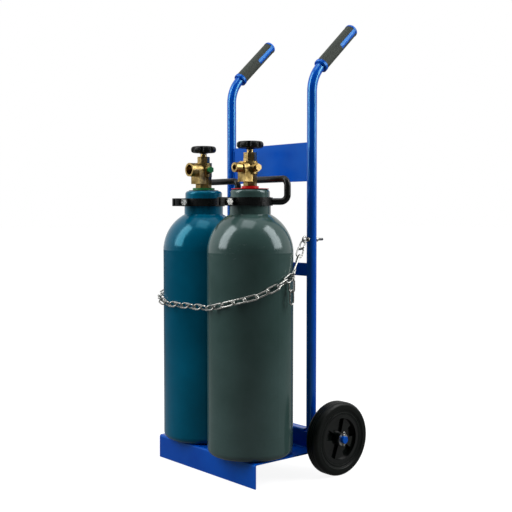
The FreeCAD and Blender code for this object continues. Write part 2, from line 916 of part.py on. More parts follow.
def bent_rod(points, bend, diameter):
    """A round rod bent along the points."""
    route = rounded_route(points, bend)
    section = Part.Circle(points[0], points[1] - points[0], diameter / 2).toShape()
    return route.makePipeShell([Part.Wire([section])], True, False)


def hook_solid(top, bottom, lateral):
    """An S-hook whose two bows hold the links that meet it at top and bottom."""
    wire = dim.link_wire.value
    bow = (dim.hook_bow_od.value - wire) / 2
    down = (bottom - top).normalize()
    high = top - down * joint_offset()
    low = bottom + down * joint_offset()
    arm = down * (bow + dim.hook_mouth.value)
    points = [high - lateral * bow + arm, high - lateral * bow, high + lateral * bow,
              low - lateral * bow, low + lateral * bow, low + lateral * bow - arm]
    steep_turn = math.pi / 2 + math.atan(2 * bow / (low - high).Length)
    bend = 2 * bow / (1 + math.tan(steep_turn / 2))
    return bent_rod(points, bend * BEND_ROOM_SHARE, wire)


def joint_offset():
    """How far the wire of a link's end lies beyond the joint that it shares with the next link."""
    return (dim.link_wire.value + dim.link_play.value) / 2


def eye_joint(eye, towards):
    """Where the joints of a row start, so that its first link hangs in the eye's ring."""
    wire = dim.eye_wire.value
    pull = Vector(0, towards.y - eye.y, towards.z - eye.z).normalize()
    ring = eye + pull * ((dim.eye_od.value - wire) / 2)
    return ring - (towards - ring).normalize() * (wire / 2)


def square_to(along, direction):
    """The part of a direction that is square to an axis."""
    return (direction - along * direction.dot(along)).normalize()


def front_sides(joints):
    """Sideways directions along the row: square to the eye at first, then lying over."""
    sides = []
    for index, (start, end) in enumerate(zip(joints, joints[1:])):
        along = (end - start).normalize()
        if index == 0:
            first = roll_towards(along, AXIS_X)
        share = min(1, index / ROLL_LINKS)
        roll = first + (math.copysign(FRONT_ROLL_SHARE, first) - first) * share
        sides.append(rolled(along, roll + index % 2))
    return sides


def tail_links(joints, sides, spacing):
    """Free links that hang from the lower, outer wire of one of the chain's last two links."""
    bow = (dim.link_width.value - dim.link_wire.value) / 2
    for start, end, side in zip(joints[-3:-1], joints[-2:], sides[-2:]):
        outward = (end - start).cross(Vector(0, 0, 1)).normalize()
        lower = side if side.z < 0 else side * -1
        if lower.dot(outward) > 0:
            carrier = (start + end) / 2 + lower * bow
            across = [outward, Vector(0, 0, 1).cross(outward)]
    top = carrier + Vector(0, 0, joint_offset())
    hung = [top - Vector(0, 0, spacing * index) for index in range(TAIL_LINKS + 1)]
    return [link_between(hung[index], hung[index + 1], across[index % 2]) for index in range(TAIL_LINKS)]


def chain():
    spacing = dim.link_inner.value - dim.link_play.value
    right_eye = Vector(dim.upright_spacing.value / 2, eye_depth().value, dim.eye_height.value)
    left_eye = Vector(-right_eye.x, right_eye.y, right_eye.z)
    joints = joints_along(chain_route(left_eye, right_eye), spacing)
    sides = front_sides(joints)
    links = [link_between(*row) for row in zip(joints, joints[1:], sides)]
    last = (joints[-1] - joints[-2]).normalize()
    top = eye_joint(right_eye, joints[-1])
    down = (joints[-1] - top).normalize()
    hook_side = square_to(down, last.cross(sides[-1]))
    upper = [top + down * (spacing * index) for index in range(HOOK_LINKS + 1)]
    upper_sides = [square_to(down, AXIS_X), down.cross(hook_side)]
    links += [link_between(*row) for row in zip(upper, upper[1:], upper_sides)]
    hook = hook_solid(upper[-1], joints[-1], hook_side)
    tail = tail_links(joints, sides, spacing)
    for label, shape in (("chain", Part.makeCompound(links)), ("chain_hook", hook),
                         ("chain_tail", Part.makeCompound(tail))):
        node(label, place(feature(label, shape), 0, dim.upright_y))


# Cylinders: each piece is built about the cylinder's own axis, from its bottom up

def cylinder_side():
    """How far each cylinder's axis stands to its side of the middle."""
    return (dim.shell_od + dim.cylinder_gap) / 2


def cylinder_depth(colour):
    """How far a cylinder's axis stands in front of the uprights."""
    return dim.shell_od / 2 + sized(colour, "setback")


def place_on_cylinder(colour, thing, x=0, y=0, z=0, axis=None, angle=0):
    side = -1 if colour == "teal" else 1
    return place(thing, side * cylinder_side() + x, dim.upright_y - cylinder_depth(colour) + y,
                 dim.tray_top + dim.seat_clearance + z, axis, angle)


def shell():
    """Hollow steel bottle: dished base, round heel, domed shoulder and a crowned neck with its bore."""
    outer = dim.shell_od / 2
    inner = outer - dim.shell_wall
    neck = dim.neck_od / 2
    throat = neck - dim.shell_wall
    bore = dim.stem_od / 2
    dish = dim.dish_od / 2
    dish_arc = (dish * dish + dim.dish_height * dim.dish_height) / (2 * dim.dish_height)
    floor = dim.dish_height + dim.shell_wall
    inner_heel = dim.shell_heel
    neck_start = dim.shell_side + leg(outer, neck)
    throat_start = dim.shell_side + leg(inner, throat)
    return revolved("shell", [
        (0, dim.dish_height, -dish_arc), (dish, 0), (outer - dim.shell_heel, 0, dim.shell_heel),
        (outer, dim.shell_heel), (outer, dim.shell_side, outer), (neck, neck_start), (neck, dim.neck_top),
        (bore, dim.neck_top), (bore, dim.neck_top - dim.neck_crown), (throat, dim.neck_top - dim.neck_crown),
        (throat, throat_start, -inner), (inner, dim.shell_side), (inner, floor + inner_heel, -inner_heel),
        (inner - inner_heel, floor), (0, floor)])


def ring_top():
    return dim.neck_top + dim.ring_height


def neck_ring():
    bore = dim.stem_od / 2 + dim.stem_clearance
    outer = dim.ring_od / 2
    return revolved("neck_ring", [
        (bore, dim.neck_top), (outer, dim.neck_top), (outer, ring_top() - dim.ring_round, dim.ring_round),
        (outer - dim.ring_round, ring_top()), (bore, ring_top())])


def seal_top():
    return ring_top() + dim.tag_thickness + dim.seal_height


def tag_disc(colour):
    return tube("tag_disc", dim.stem_od + 2 * dim.stem_clearance, sized(colour, "tag_od"),
                ring_top(), ring_top() + dim.tag_thickness)


def seal_ring(colour):
    return tube("seal_ring", dim.stem_od + 2 * dim.stem_clearance, sized(colour, "seal_od"),
                ring_top() + dim.tag_thickness, seal_top())


def valve_top(colour):
    return seal_top() + dim.foot_height + sized(colour, "valve_height")


def outlet_height(colour):
    return seal_top() + dim.foot_height + sized(colour, "valve_height") / 2


def valve_body(colour):
    """Stem in the neck, hexagon foot, round body, stepped outlet on a web, and a plug boss."""
    body = new_body("valve_body")
    stem = new_sketch(body, "XY_Plane", ring_top() - dim.stem_length)
    draw_circle(stem, dim.stem_od)
    pad(body, stem, dim.stem_length + dim.tag_thickness + dim.seal_height)
    foot = new_sketch(body, "XY_Plane", seal_top())
    draw_hexagon(foot, sized(colour, "foot_flats"))
    pad(body, foot, dim.foot_height)
    barrel = new_sketch(body, "XY_Plane", seal_top() + dim.foot_height)
    draw_circle(barrel, sized(colour, "valve_od"))
    pad(body, barrel, sized(colour, "valve_height"))
    for diameter, reach in ((sized(colour, "root_od"), dim.root_reach),
                            (sized(colour, "outlet_od"), sized(colour, "outlet_reach"))):
        outlet = new_sketch(body, "XZ_Plane")
        draw_circle(outlet, diameter, 0, outlet_height(colour))
        pad(body, outlet, reach)
    web = new_sketch(body, "XZ_Plane")
    half_web = sized(colour, "foot_flats") / 2
    draw(web, rectangle(-half_web, seal_top() + dim.web_rise, half_web, outlet_height(colour)))
    pad(body, web, dim.web_reach)
    boss = new_sketch(body, "YZ_Plane")
    draw_circle(boss, dim.boss_od, 0, outlet_height(colour))
    pad(body, boss, dim.boss_reach)
    mouth = new_sketch(body, "XZ_Plane", sized(colour, "outlet_reach"))
    draw_circle(mouth, sized(colour, "outlet_bore"), 0, outlet_height(colour))
    pocket_blind(body, mouth, dim.outlet_bore_depth)
    return body


def safety_plug():
    body = new_body("safety_plug")
    sketch = new_sketch(body, "XY_Plane")
    draw_hexagon(sketch, dim.plug_flats)
    pad(body, sketch, dim.plug_height)
    return body


def gland_top():
    return dim.bonnet_top + dim.gland_height


def bonnet(colour):
    body = new_body("bonnet")
    base = new_sketch(body, "XY_Plane", valve_top(colour))
    draw_hexagon(base, dim.bonnet_flats)
    pad(body, base, dim.bonnet_top - valve_top(colour))
    gland = new_sketch(body, "XY_Plane", dim.bonnet_top)
    draw_circle(gland, dim.gland_od)
    pad(body, gland, dim.gland_height)
    bore = new_sketch(body, "XY_Plane")
    draw_circle(bore, dim.spindle_od + 2 * dim.spindle_clearance)
    pocket_through(body, bore)
    return body


def wheel_base():
    return gland_top() + dim.handwheel_gap


def dimple_floor():
    return wheel_base() + dim.handwheel_height - dim.dimple_depth


def spindle(colour):
    radius = dim.spindle_od / 2
    bottom = valve_top(colour) + dim.spindle_floor
    top = dimple_floor()
    return revolved("spindle", rectangle(0, bottom, radius, top))


def handwheel():
    """A knob with a round rim, scalloped all round, and a dimple for its nut."""
    bore = dim.spindle_od / 2
    hub = dim.handwheel_hub_od / 2
    outer = dim.handwheel_od / 2
    low = wheel_base() + dim.handwheel_undercut
    high = wheel_base() + dim.handwheel_height
    dimple = dim.dimple_od / 2
    body = revolved("handwheel", [
        (bore, wheel_base()), (hub, wheel_base()), (hub, low),
        (outer - dim.handwheel_round, low, dim.handwheel_round), (outer, low + dim.handwheel_round),
        (outer, high - dim.handwheel_round, dim.handwheel_round), (outer - dim.handwheel_round, high),
        (dimple, high), (dimple, dimple_floor()), (bore, dimple_floor())])
    notch = new_sketch(body, "XY_Plane")
    draw_circle(notch, dim.scallop_od, outer + dim.scallop_od / 2 - dim.scallop_depth, 0)
    scallop = pocket_through(body, notch)
    polar_pattern(body, scallop, SCALLOPS)
    return body


def handwheel_nut():
    body = new_body("handwheel_nut")
    sketch = new_sketch(body, "XY_Plane", dimple_floor())
    draw_hexagon(sketch, dim.handwheel_nut_flats)
    pad(body, sketch, dim.handwheel_nut_height)
    return body


# Carrying handle: split band on the neck, bolt through its ears and a bail behind the valve

def band_middle():
    return dim.band_bottom + dim.band_height / 2


def band_outer():
    return dim.neck_od / 2 + dim.band_clearance + dim.band_wall


def handle_band():
    inner = dim.neck_od / 2 + dim.band_clearance
    outer = band_outer()
    slot = dim.ear_gap / 2
    side = slot + dim.ear_thickness
    slot_root = leg(inner, slot)
    side_root = leg(outer, side)
    body = new_body("handle_band")
    outline = new_sketch(body, "XY_Plane", dim.band_bottom)
    draw(outline, [
        (slot, -slot_root, inner), (inner, 0, inner), (0, inner, inner), (-inner, 0, inner),
        (-slot, -slot_root), (-slot, -dim.ear_reach), (-side, -dim.ear_reach), (-side, -side_root, -outer),
        (-outer, 0, -outer), (0, outer, -outer), (outer, 0, -outer),
        (side, -side_root), (side, -dim.ear_reach), (slot, -dim.ear_reach)])
    pad(body, outline, dim.band_height)
    hole = new_sketch(body, "YZ_Plane")
    draw_circle(hole, dim.ear_bolt_od + 2 * dim.band_clearance, -dim.ear_bolt_reach, band_middle())
    pocket_through(body, hole)
    return body


def handle_bail():
    """Bent bar: out from the band, up and across behind the valve, and down again."""
    rod = dim.bail_od.value
    half = dim.bail_width.value / 2
    back = dim.bail_setback.value
    low = band_middle().value
    high = low + dim.bail_rise.value
    corner = Vector(half, back, low)
    start = Vector(half, back, 0).normalize() * (band_outer().value - dim.band_wall.value / 2)
    right = [start + Vector(0, 0, low), corner, Vector(half, back, high)]
    left = [Vector(-point.x, point.y, point.z) for point in reversed(right)]
    bar = bent_rod(right + left, dim.bail_bend.value, rod)
    sleeve = Part.makeCylinder(band_outer().value, 2 * rod, Vector(0, 0, low - rod))
    return feature("handle_bail", bar.cut(sleeve))


def handle_bolt(colour):
    """Bolt along X through both ears, with its nut on the far side."""
    side = dim.ear_gap / 2 + dim.ear_thickness
    body = new_body("handle_bolt")
    head = new_sketch(body, "YZ_Plane", side)
    draw_hexagon(head, dim.ear_bolt_flats)
    pad(body, head, dim.ear_bolt_head)
    shank = new_sketch(body, "YZ_Plane", -side - dim.ear_bolt_head - dim.ear_bolt_stub)
    draw_circle(shank, dim.ear_bolt_od)
    pad(body, shank, 2 * side + dim.ear_bolt_head + dim.ear_bolt_stub)
    place_on_cylinder(colour, body, 0, -dim.ear_bolt_reach, band_middle())
    nut = hex_nut("handle_nut", dim.ear_bolt_flats, dim.ear_bolt_head, dim.ear_bolt_od + 2 * dim.band_clearance)
    place_on_cylinder(colour, nut, -side, -dim.ear_bolt_reach, band_middle(), Vector(0, -1, 0), QUARTER_TURN)
    return group("handle_bolt", [body, nut])


def cylinders():
    for colour in ("teal", "grey"):
        pieces = {
            "shell": shell(), "neck_ring": neck_ring(), "tag_disc": tag_disc(colour),
            "seal_ring": seal_ring(colour), "valve_body": valve_body(colour), "bonnet": bonnet(colour),
            "spindle": spindle(colour), "handwheel": handwheel(), "handwheel_nut": handwheel_nut(),
            "handle_band": handle_band(), "handle_bail": handle_bail()}
        for name, thing in pieces.items():
            node(f"{colour}_{name}", place_on_cylinder(colour, thing))
        plug = place_on_cylinder(colour, safety_plug(), dim.boss_reach, 0, outlet_height(colour), AXIS_Y, QUARTER_TURN)
        node(f"{colour}_safety_plug", plug)
        node(f"{colour}_handle_bolt", handle_bolt(colour))


def check():
    """Stop before anything is written if any object failed or any solid is not sound."""
    for thing in document.Objects:
        if "Invalid" in thing.State or "Error" in thing.State:
            raise RuntimeError(f"{thing.Label} failed: {thing.State}")
    for label, thing in nodes.items():
        if thing.Shape.isNull() or not thing.Shape.isValid() or not thing.Shape.Solids:
            raise RuntimeError(f"{label} is not a sound solid")


def export():
    os.makedirs("parts", exist_ok=True)
    for label, thing in nodes.items():
        thing.Shape.exportStep(f"parts/{label}.step")


uprights()
cross_plate("top_plate", dim.top_plate_bottom, dim.top_plate_height)
cross_plate("mid_bar", dim.mid_bar_bottom, dim.mid_bar_height)
base_tray()
grips()
axle()
axle_fittings()
cotter_pins()
wheels()
eye_bolts()
chain()
cylinders()
document.recompute()
check()
export()
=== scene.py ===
import json
import math

import bpy
import numpy as np
from mathutils import Matrix, Vector

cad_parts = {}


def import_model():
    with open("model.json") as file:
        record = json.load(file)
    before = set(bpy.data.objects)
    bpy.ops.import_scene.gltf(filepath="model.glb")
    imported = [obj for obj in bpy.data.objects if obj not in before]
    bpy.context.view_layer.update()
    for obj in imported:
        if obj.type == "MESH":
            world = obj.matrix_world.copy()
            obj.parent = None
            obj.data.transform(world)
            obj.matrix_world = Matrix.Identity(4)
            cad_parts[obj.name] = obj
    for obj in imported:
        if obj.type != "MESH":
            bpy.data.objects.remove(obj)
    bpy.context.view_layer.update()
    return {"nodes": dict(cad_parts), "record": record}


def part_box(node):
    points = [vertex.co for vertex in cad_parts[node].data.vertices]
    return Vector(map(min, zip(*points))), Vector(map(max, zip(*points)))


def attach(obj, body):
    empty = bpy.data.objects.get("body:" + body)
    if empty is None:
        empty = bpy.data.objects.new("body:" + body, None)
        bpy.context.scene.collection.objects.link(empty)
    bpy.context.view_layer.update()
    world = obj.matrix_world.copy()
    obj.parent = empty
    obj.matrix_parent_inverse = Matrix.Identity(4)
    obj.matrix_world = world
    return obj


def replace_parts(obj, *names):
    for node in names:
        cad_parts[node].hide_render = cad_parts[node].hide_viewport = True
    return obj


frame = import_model()
NODES = frame["nodes"]
SLOTS = {part["node"]: part["material_slot"] for part in frame["record"]["subparts"]}

# Camera of the photograph: place in metres, focal length and frame in pixels, sensor in millimetres
CAMERA_PLACE = Vector((1.5678, -1.3150, 0.5519))
CAMERA_TURN = math.radians(49.73)
CAMERA_PITCH = math.radians(2.59)
FOCAL_PIXELS = 926.3
FRAME_PIXELS = 512
SENSOR_WIDTH = 36.0

# Places read from the frame
AXLE_LOW, AXLE_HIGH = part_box("axle")
AXLE = (AXLE_LOW + AXLE_HIGH) / 2
SHELL_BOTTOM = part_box("teal_shell")[0].z
NUT_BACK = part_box("eye_bolt_nuts")[1].y

# Relief in the materials, in metres: seams and scuffs of a cylinder, thread of an eye bolt,
# ribs of a grip, and rings of a tyre as radius, half width and soft edge
SEAM_HEIGHTS = (SHELL_BOTTOM + 0.0482, SHELL_BOTTOM + 0.4209)
SCUFF_RISE = 0.004
THREAD_PITCH = 0.001
THREAD_START = (NUT_BACK + 0.00025, NUT_BACK + 0.00125)
GRIP_LEAN = math.radians(47)
RIB_PITCH = 0.0032
TYRE_RINGS = ((0.0605, 0.0006, 0.0008), (0.0555, 0.0004, 0.0007))

# Range of a noise value that is stretched over a whole ramp, and tints of gloss
GRAIN_SPAN = (0.3, 0.7)
SHEET_SHEEN = (0.06, 0.6, 1.0, 1.0)
TUBE_SHEEN = (0.2, 0.85, 1.0, 1.0)
GRIP_SHEEN = (0.2, 0.65, 1.0, 1.0)
TEAL_SHEEN = (0.12, 0.75, 1.0, 1.0)
GREY_SHEEN = (0.84, 0.97, 1.0, 1.0)
PLAIN_SHEEN = (1.0, 1.0, 1.0, 1.0)

# Chain links made here: outer width and inner length as in the part, wire a little thinner, in metres
LINK_WIDTH = 0.016
LINK_INNER = 0.026
LINK_WIRE = 0.0035
LINK_WELD_HALF = 0.0013
LINK_WELD_SHARE = 0.13
LINK_ARC_STEPS = 18
LINK_SIDE_STEPS = 12
WIRE_SIDES = 12
MERGE_DIGITS = 6

# Weld beads made here, in metres
BEAD_RADIUS = 0.0017
BEAD_STEP = 0.0007
BEAD_RIPPLE = 0.0022
BEAD_RIPPLE_SHARE = 0.1
BEAD_TAPER_RATE = 8
BEAD_TAPER_START = 0.25
BEAD_SIDES = 8
BEAD_PROUD = 0.0004
BEAD_INSET = 0.001

# Floor: half its side in metres, its white and the share of it that the camera sees,
# its grey to the camera and to other rays, and its share in gloss at two distances
FLOOR_HALF = 30.0
FLOOR_GLOW = 1.65
FLOOR_SHARE = 0.55
FLOOR_GREY = (0.5, 0.5, 0.5, 1)
BOUNCE_GREY = (0.1, 0.1, 0.1, 1)
GLOSS_REACH = (0.8, 2.2)
GLOSS_SHARES = (0.1, 0.03)

# Room: strength in front of the object and behind it, and where one turns into the other
ROOM_FRONT = 0.03
ROOM_BACK = 0.75
ROOM_TURN = (-0.45, 0.35)
ROOM_LIFT = 0.25

# Lamps: the height that they face; name, bearing in degrees, distance, height, width, length, watts
LAMP_AIM = 1.3
SOFTBOXES = (
    ("left_softbox", -116, 1.9, 1.9, 1.0, 2.3, 42),
    ("right_softbox", 37, 1.9, 1.9, 1.0, 2.3, 44),
    ("top_softbox", -60, 0.5, 3.1, 1.2, 1.2, 10),
)


def linear(red, green, blue):
    """A colour written as 0 to 255 display values, for a shader socket."""
    values = []
    for value in (red, green, blue):
        share = value / 255
        values.append(share / 12.92 if share <= 0.04045 else ((share + 0.055) / 1.055) ** 2.4)
    return (*values, 1.0)


class Shade:
    """A material and short ways to add nodes to it."""

    def __init__(self, name, **sockets):
        self.material = bpy.data.materials.new(name)
        self.material.use_nodes = True
        self.tree = self.material.node_tree
        self.shader = self.tree.nodes["Principled BSDF"]
        for socket, value in sockets.items():
            self.shader.inputs[socket.replace("_", " ")].default_value = value

    def add(self, kind, inputs=(), **settings):
        node = self.tree.nodes.new(kind)
        for name, value in settings.items():
            setattr(node, name, value)
        for index, value in enumerate(inputs):
            self.feed(node.inputs[index], value)
        return node.outputs[0]

    def feed(self, socket, value):
        if isinstance(value, bpy.types.NodeSocket):
            self.tree.links.new(value, socket)
        elif value is not None:
            socket.default_value = value

    def math(self, operation, first, second=None):
        return self.add("ShaderNodeMath", (first, second), operation=operation)

    def place(self):
        return self.add("ShaderNodeTexCoord").node.outputs["Object"]

    def axes(self):
        split = self.add("ShaderNodeSeparateXYZ", (self.place(),)).node
        return split.outputs[0], split.outputs[1], split.outputs[2]

    def noise(self, scale, detail=3.0, stretch=(1, 1, 1)):
        spread = self.add("ShaderNodeMapping", (self.place(),)).node
        spread.inputs["Scale"].default_value = stretch
        node = self.add("ShaderNodeTexNoise").node
        self.feed(node.inputs["Vector"], spread.outputs[0])
        node.inputs["Scale"].default_value = scale
        node.inputs["Detail"].default_value = detail
        return node.outputs[0]

    def ramp(self, factor, span, deep, bright):
        """A colour that goes from deep to bright as the factor crosses the span."""
        node = self.add("ShaderNodeValToRGB", (factor,)).node
        for element, position, colour in zip(node.color_ramp.elements, span, (deep, bright)):
            element.position = position
            element.color = colour
        return node.outputs[0]

    def span(self, value, source, target):
        """The value, carried from the source range to the target range."""
        return self.add("ShaderNodeMapRange", (value, *source, *target))

    def band(self, value, centre, half, soft):
        """One where the value is within half of the centre, fading to zero over soft."""
        away = self.math("ABSOLUTE", self.math("SUBTRACT", value, centre))
        return self.span(away, (half, half + soft), (1.0, 0.0))

    def radius_about(self, first, second, centre):
        """Distance from a line, measured in the two axes given."""
        across = self.math("SUBTRACT", first, centre[0])
        along = self.math("SUBTRACT", second, centre[1])
        return self.math("SQRT", self.math("ADD", self.math("MULTIPLY", across, across),
                                           self.math("MULTIPLY", along, along)))

    def bump(self, height, depth, strength, below=None):
        node = self.add("ShaderNodeBump").node
        node.inputs["Strength"].default_value = strength
        node.inputs["Distance"].default_value = depth
        self.feed(node.inputs["Height"], height)
        self.feed(node.inputs["Normal"], below)
        return node.outputs[0]

    def finish(self, colour, roughness, normal):
        for name, value in (("Base Color", colour), ("Roughness", roughness), ("Normal", normal)):
            self.feed(self.shader.inputs[name], value)
        return self.material


# Materials

def paint(name, deep, bright, roughness, **sockets):
    """Sprayed paint: slight clouds of tone, a faint orange peel, and gloss that varies a little."""
    shade = Shade(name, **sockets)
    colour = shade.ramp(shade.noise(scale=9.0, detail=4.0), GRAIN_SPAN, deep, bright)
    rough = shade.span(shade.noise(scale=60.0), GRAIN_SPAN, (roughness - 0.03, roughness + 0.04))
    peel = shade.bump(shade.noise(scale=120.0, detail=1.0), depth=0.00004, strength=0.2)
    return shade, colour, rough, peel


def frame_paint(name, **sockets):
    """Blue enamel, whose gloss keeps some of its own colour."""
    shade, colour, rough, peel = paint(name, linear(0, 69, 184), linear(0, 88, 208),
                                       roughness=0.2, **sockets)
    return shade.finish(colour, rough, peel)


def cylinder_paint(name, deep, bright, sheen):
    """Enamel over rolled steel, with two faint forming rings and scuffs near the upper one."""
    shade, colour, rough, peel = paint(name, deep, bright, roughness=0.15,
                                       Specular_IOR_Level=0.55, Specular_Tint=sheen)
    height = shade.axes()[2]
    rings = shade.math("MAXIMUM", *(shade.band(height, seam, half=0.0012, soft=0.0022)
                                    for seam in SEAM_HEIGHTS))
    waves = shade.bump(shade.noise(scale=14.0, detail=2.0, stretch=(1, 1, 0.45)),
                       depth=0.0006, strength=0.12, below=peel)
    marks = shade.span(shade.noise(scale=130.0, detail=5.0, stretch=(1, 1, 2.2)), (0.63, 0.7), (0.0, 0.4))
    patches = shade.span(shade.noise(scale=11.0, detail=2.0), (0.5, 0.62), (0.0, 1.0))
    near = shade.band(height, SEAM_HEIGHTS[-1] + SCUFF_RISE, half=0.006, soft=0.016)
    scuffs = shade.math("MULTIPLY", shade.math("MULTIPLY", marks, patches), near)
    worn = shade.add("ShaderNodeMixRGB", (scuffs, colour, linear(150, 160, 158)))
    return shade.finish(worn, rough, shade.bump(rings, depth=0.0002, strength=0.4, below=waves))


def zinc():
    """Zinc-plated steel with a fine spangle."""
    shade = Shade("zinc_steel", Metallic=1.0)
    spangle = shade.noise(scale=240.0, detail=4.0)
    colour = shade.ramp(spangle, (0.32, 0.7), linear(150, 150, 146), linear(214, 214, 209))
    rough = shade.span(shade.noise(scale=500.0), GRAIN_SPAN, (0.2, 0.42))
    return shade.finish(colour, rough, shade.bump(spangle, depth=0.00008, strength=0.5))


def threaded_zinc():
    """Zinc with a thread on the free end, behind the nut."""
    shade = Shade("threaded_zinc", Metallic=1.0)
    depth = shade.axes()[1]
    spangle = shade.noise(scale=240.0, detail=4.0)
    colour = shade.ramp(spangle, (0.32, 0.7), linear(140, 140, 136), linear(208, 208, 203))
    wave = shade.math("SINE", shade.math("MULTIPLY", depth, 2 * math.pi / THREAD_PITCH))
    thread = shade.math("MULTIPLY", wave, shade.span(depth, THREAD_START, (0.0, 1.0)))
    rough = shade.span(spangle, GRAIN_SPAN, (0.22, 0.4))
    return shade.finish(colour, rough, shade.bump(thread, depth=0.0003, strength=0.9))


def brass(name, deep, bright, roughness, grain):
    """Brass: warm tone with darker patches, and a grain as deep as its finish leaves it."""
    shade = Shade(name, Metallic=1.0)
    colour = shade.ramp(shade.noise(scale=70.0, detail=5.0), (0.3, 0.68), deep, bright)
    rough = shade.span(shade.noise(scale=160.0, detail=4.0), GRAIN_SPAN, (roughness - 0.08, roughness + 0.1))
    return shade.finish(colour, rough, shade.bump(shade.noise(scale=650.0), depth=grain, strength=0.6))


def plastic(name, deep, bright, roughness, specular=0.3, sheen=PLAIN_SHEEN):
    """Moulded plastic or a plain coating: slight clouds of tone and a very fine grain."""
    shade = Shade(name, Specular_IOR_Level=specular, Specular_Tint=sheen)
    colour = shade.ramp(shade.noise(scale=35.0, detail=4.0), GRAIN_SPAN, deep, bright)
    rough = shade.span(shade.noise(scale=220.0), GRAIN_SPAN, (roughness - 0.05, roughness + 0.06))
    grain = shade.bump(shade.noise(scale=240.0, detail=1.0), depth=0.00002, strength=0.3)
    return shade.finish(colour, rough, grain)


def grip_rubber():
    """Soft grip with fine ribs round it and a grain between them."""
    shade = Shade("grip_rubber", Specular_IOR_Level=0.3)
    axes = shade.axes()
    along = shade.math("ADD", shade.math("MULTIPLY", axes[1], math.sin(GRIP_LEAN)),
                       shade.math("MULTIPLY", axes[2], math.cos(GRIP_LEAN)))
    ribs = shade.math("SINE", shade.math("MULTIPLY", along, 2 * math.pi / RIB_PITCH))
    grain = shade.noise(scale=420.0, detail=2.0)
    worn = shade.math("ADD", shade.math("MULTIPLY", ribs, 0.16), grain)
    colour = shade.ramp(worn, (0.2, 0.85), linear(44, 50, 46), linear(80, 86, 78))
    rough = shade.span(grain, GRAIN_SPAN, (0.55, 0.78))
    fine = shade.bump(grain, depth=0.00008, strength=0.3)
    return shade.finish(colour, rough, shade.bump(ribs, depth=0.0003, strength=0.6, below=fine))


def tyre_rubber():
    """Black rubber with moulded rings on its sides and a fine dusty grain."""
    shade = Shade("tyre_rubber", Specular_IOR_Level=0.2)
    axes = shade.axes()
    reach = shade.radius_about(axes[1], axes[2], (AXLE.y, AXLE.z))
    grain = shade.noise(scale=420.0)
    dust = shade.noise(scale=28.0, detail=5.0)
    colour = shade.ramp(dust, (0.3, 0.75), linear(5, 10, 8), linear(14, 20, 17))
    rings = shade.math("MAXIMUM", *(shade.band(reach, *ring) for ring in TYRE_RINGS))
    rough = shade.span(grain, GRAIN_SPAN, (0.36, 0.48))
    fine = shade.bump(grain, depth=0.00004, strength=0.3)
    return shade.finish(colour, rough, shade.bump(rings, depth=0.0007, strength=0.9, below=fine))


MATERIALS = {
    "frame_paint": frame_paint("frame_paint", Specular_IOR_Level=0.7, Specular_Tint=SHEET_SHEEN),
    "tube_paint": frame_paint("tube_paint", Specular_IOR_Level=1.0, Coat_Weight=0.15,
                              Coat_Roughness=0.08, Specular_Tint=TUBE_SHEEN),
    "teal_paint": cylinder_paint("teal_paint", linear(0, 79, 106), linear(0, 96, 127), TEAL_SHEEN),
    "grey_paint": cylinder_paint("grey_paint", linear(53, 77, 73), linear(67, 92, 89), GREY_SHEEN),
    "zinc_steel": zinc(),
    "threaded_zinc": threaded_zinc(),
    "cast_brass": brass("cast_brass", linear(104, 84, 44), linear(196, 170, 110),
                        roughness=0.36, grain=0.00018),
    "machined_brass": brass("machined_brass", linear(140, 116, 66), linear(212, 186, 128),
                            roughness=0.27, grain=0.00005),
    "handle_paint": plastic("handle_paint", linear(13, 15, 15), linear(24, 26, 26), roughness=0.3),
    "handwheel_plastic": plastic("handwheel_plastic", linear(9, 12, 12), linear(19, 22, 22),
                                 roughness=0.36, specular=0.22),
    "rim_plastic": plastic("rim_plastic", linear(7, 11, 10), linear(16, 21, 19),
                           roughness=0.18, specular=0.4),
    "bush_plastic": plastic("bush_plastic", linear(150, 150, 144), linear(180, 180, 172), roughness=0.5),
    "grip_plastic": plastic("grip_plastic", linear(0, 76, 184), linear(4, 96, 212),
                            roughness=0.22, specular=0.6, sheen=GRIP_SHEEN),
    "grip_rubber": grip_rubber(),
    "tyre": tyre_rubber(),
    "teal_tag": plastic("teal_tag", linear(20, 25, 28), linear(36, 42, 46), roughness=0.45),
    "grey_tag": plastic("grey_tag", linear(178, 16, 22), linear(208, 30, 34), roughness=0.4),
    "teal_seal": plastic("teal_seal", linear(18, 104, 52), linear(48, 142, 82), roughness=0.32),
    "grey_seal": plastic("grey_seal", linear(182, 18, 22), linear(214, 40, 40), roughness=0.3),
}


def material_for(name, slot):
    if name.endswith("upright"):
        return MATERIALS["tube_paint"]
    if name == "eye_bolts":
        return MATERIALS["threaded_zinc"]
    if slot == "brass":
        return MATERIALS["cast_brass" if name.endswith("valve_body") else "machined_brass"]
    return MATERIALS[slot]


for node_name, node in NODES.items():
    node.data.materials.clear()
    node.data.materials.append(material_for(node_name, SLOTS[node_name]))


# Pieces made here

def new_piece(name, points, faces, material, body):
    mesh = bpy.data.meshes.new(name)
    mesh.from_pydata([tuple(point) for point in points], [], faces)
    mesh.materials.append(material)
    for polygon in mesh.polygons:
        polygon.use_smooth = True
    piece = bpy.data.objects.new(name, mesh)
    bpy.context.scene.collection.objects.link(piece)
    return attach(piece, body)


def islands(node):
    """Corner points of each separate solid in a node."""
    mesh = NODES[node].data
    points = np.array([vertex.co for vertex in mesh.vertices])
    unique, index = np.unique(np.round(points, MERGE_DIGITS), axis=0, return_inverse=True)
    index = index.ravel()
    owner = list(range(len(unique)))

    def root(item):
        while owner[item] != item:
            owner[item] = owner[owner[item]]
            item = owner[item]
        return item

    for polygon in mesh.polygons:
        corners = [index[vertex] for vertex in polygon.vertices]
        for corner in corners[1:]:
            owner[root(corner)] = root(corners[0])
    groups = {}
    for item in range(len(unique)):
        groups.setdefault(root(item), []).append(unique[item])
    return [np.array(group) for group in groups.values()]


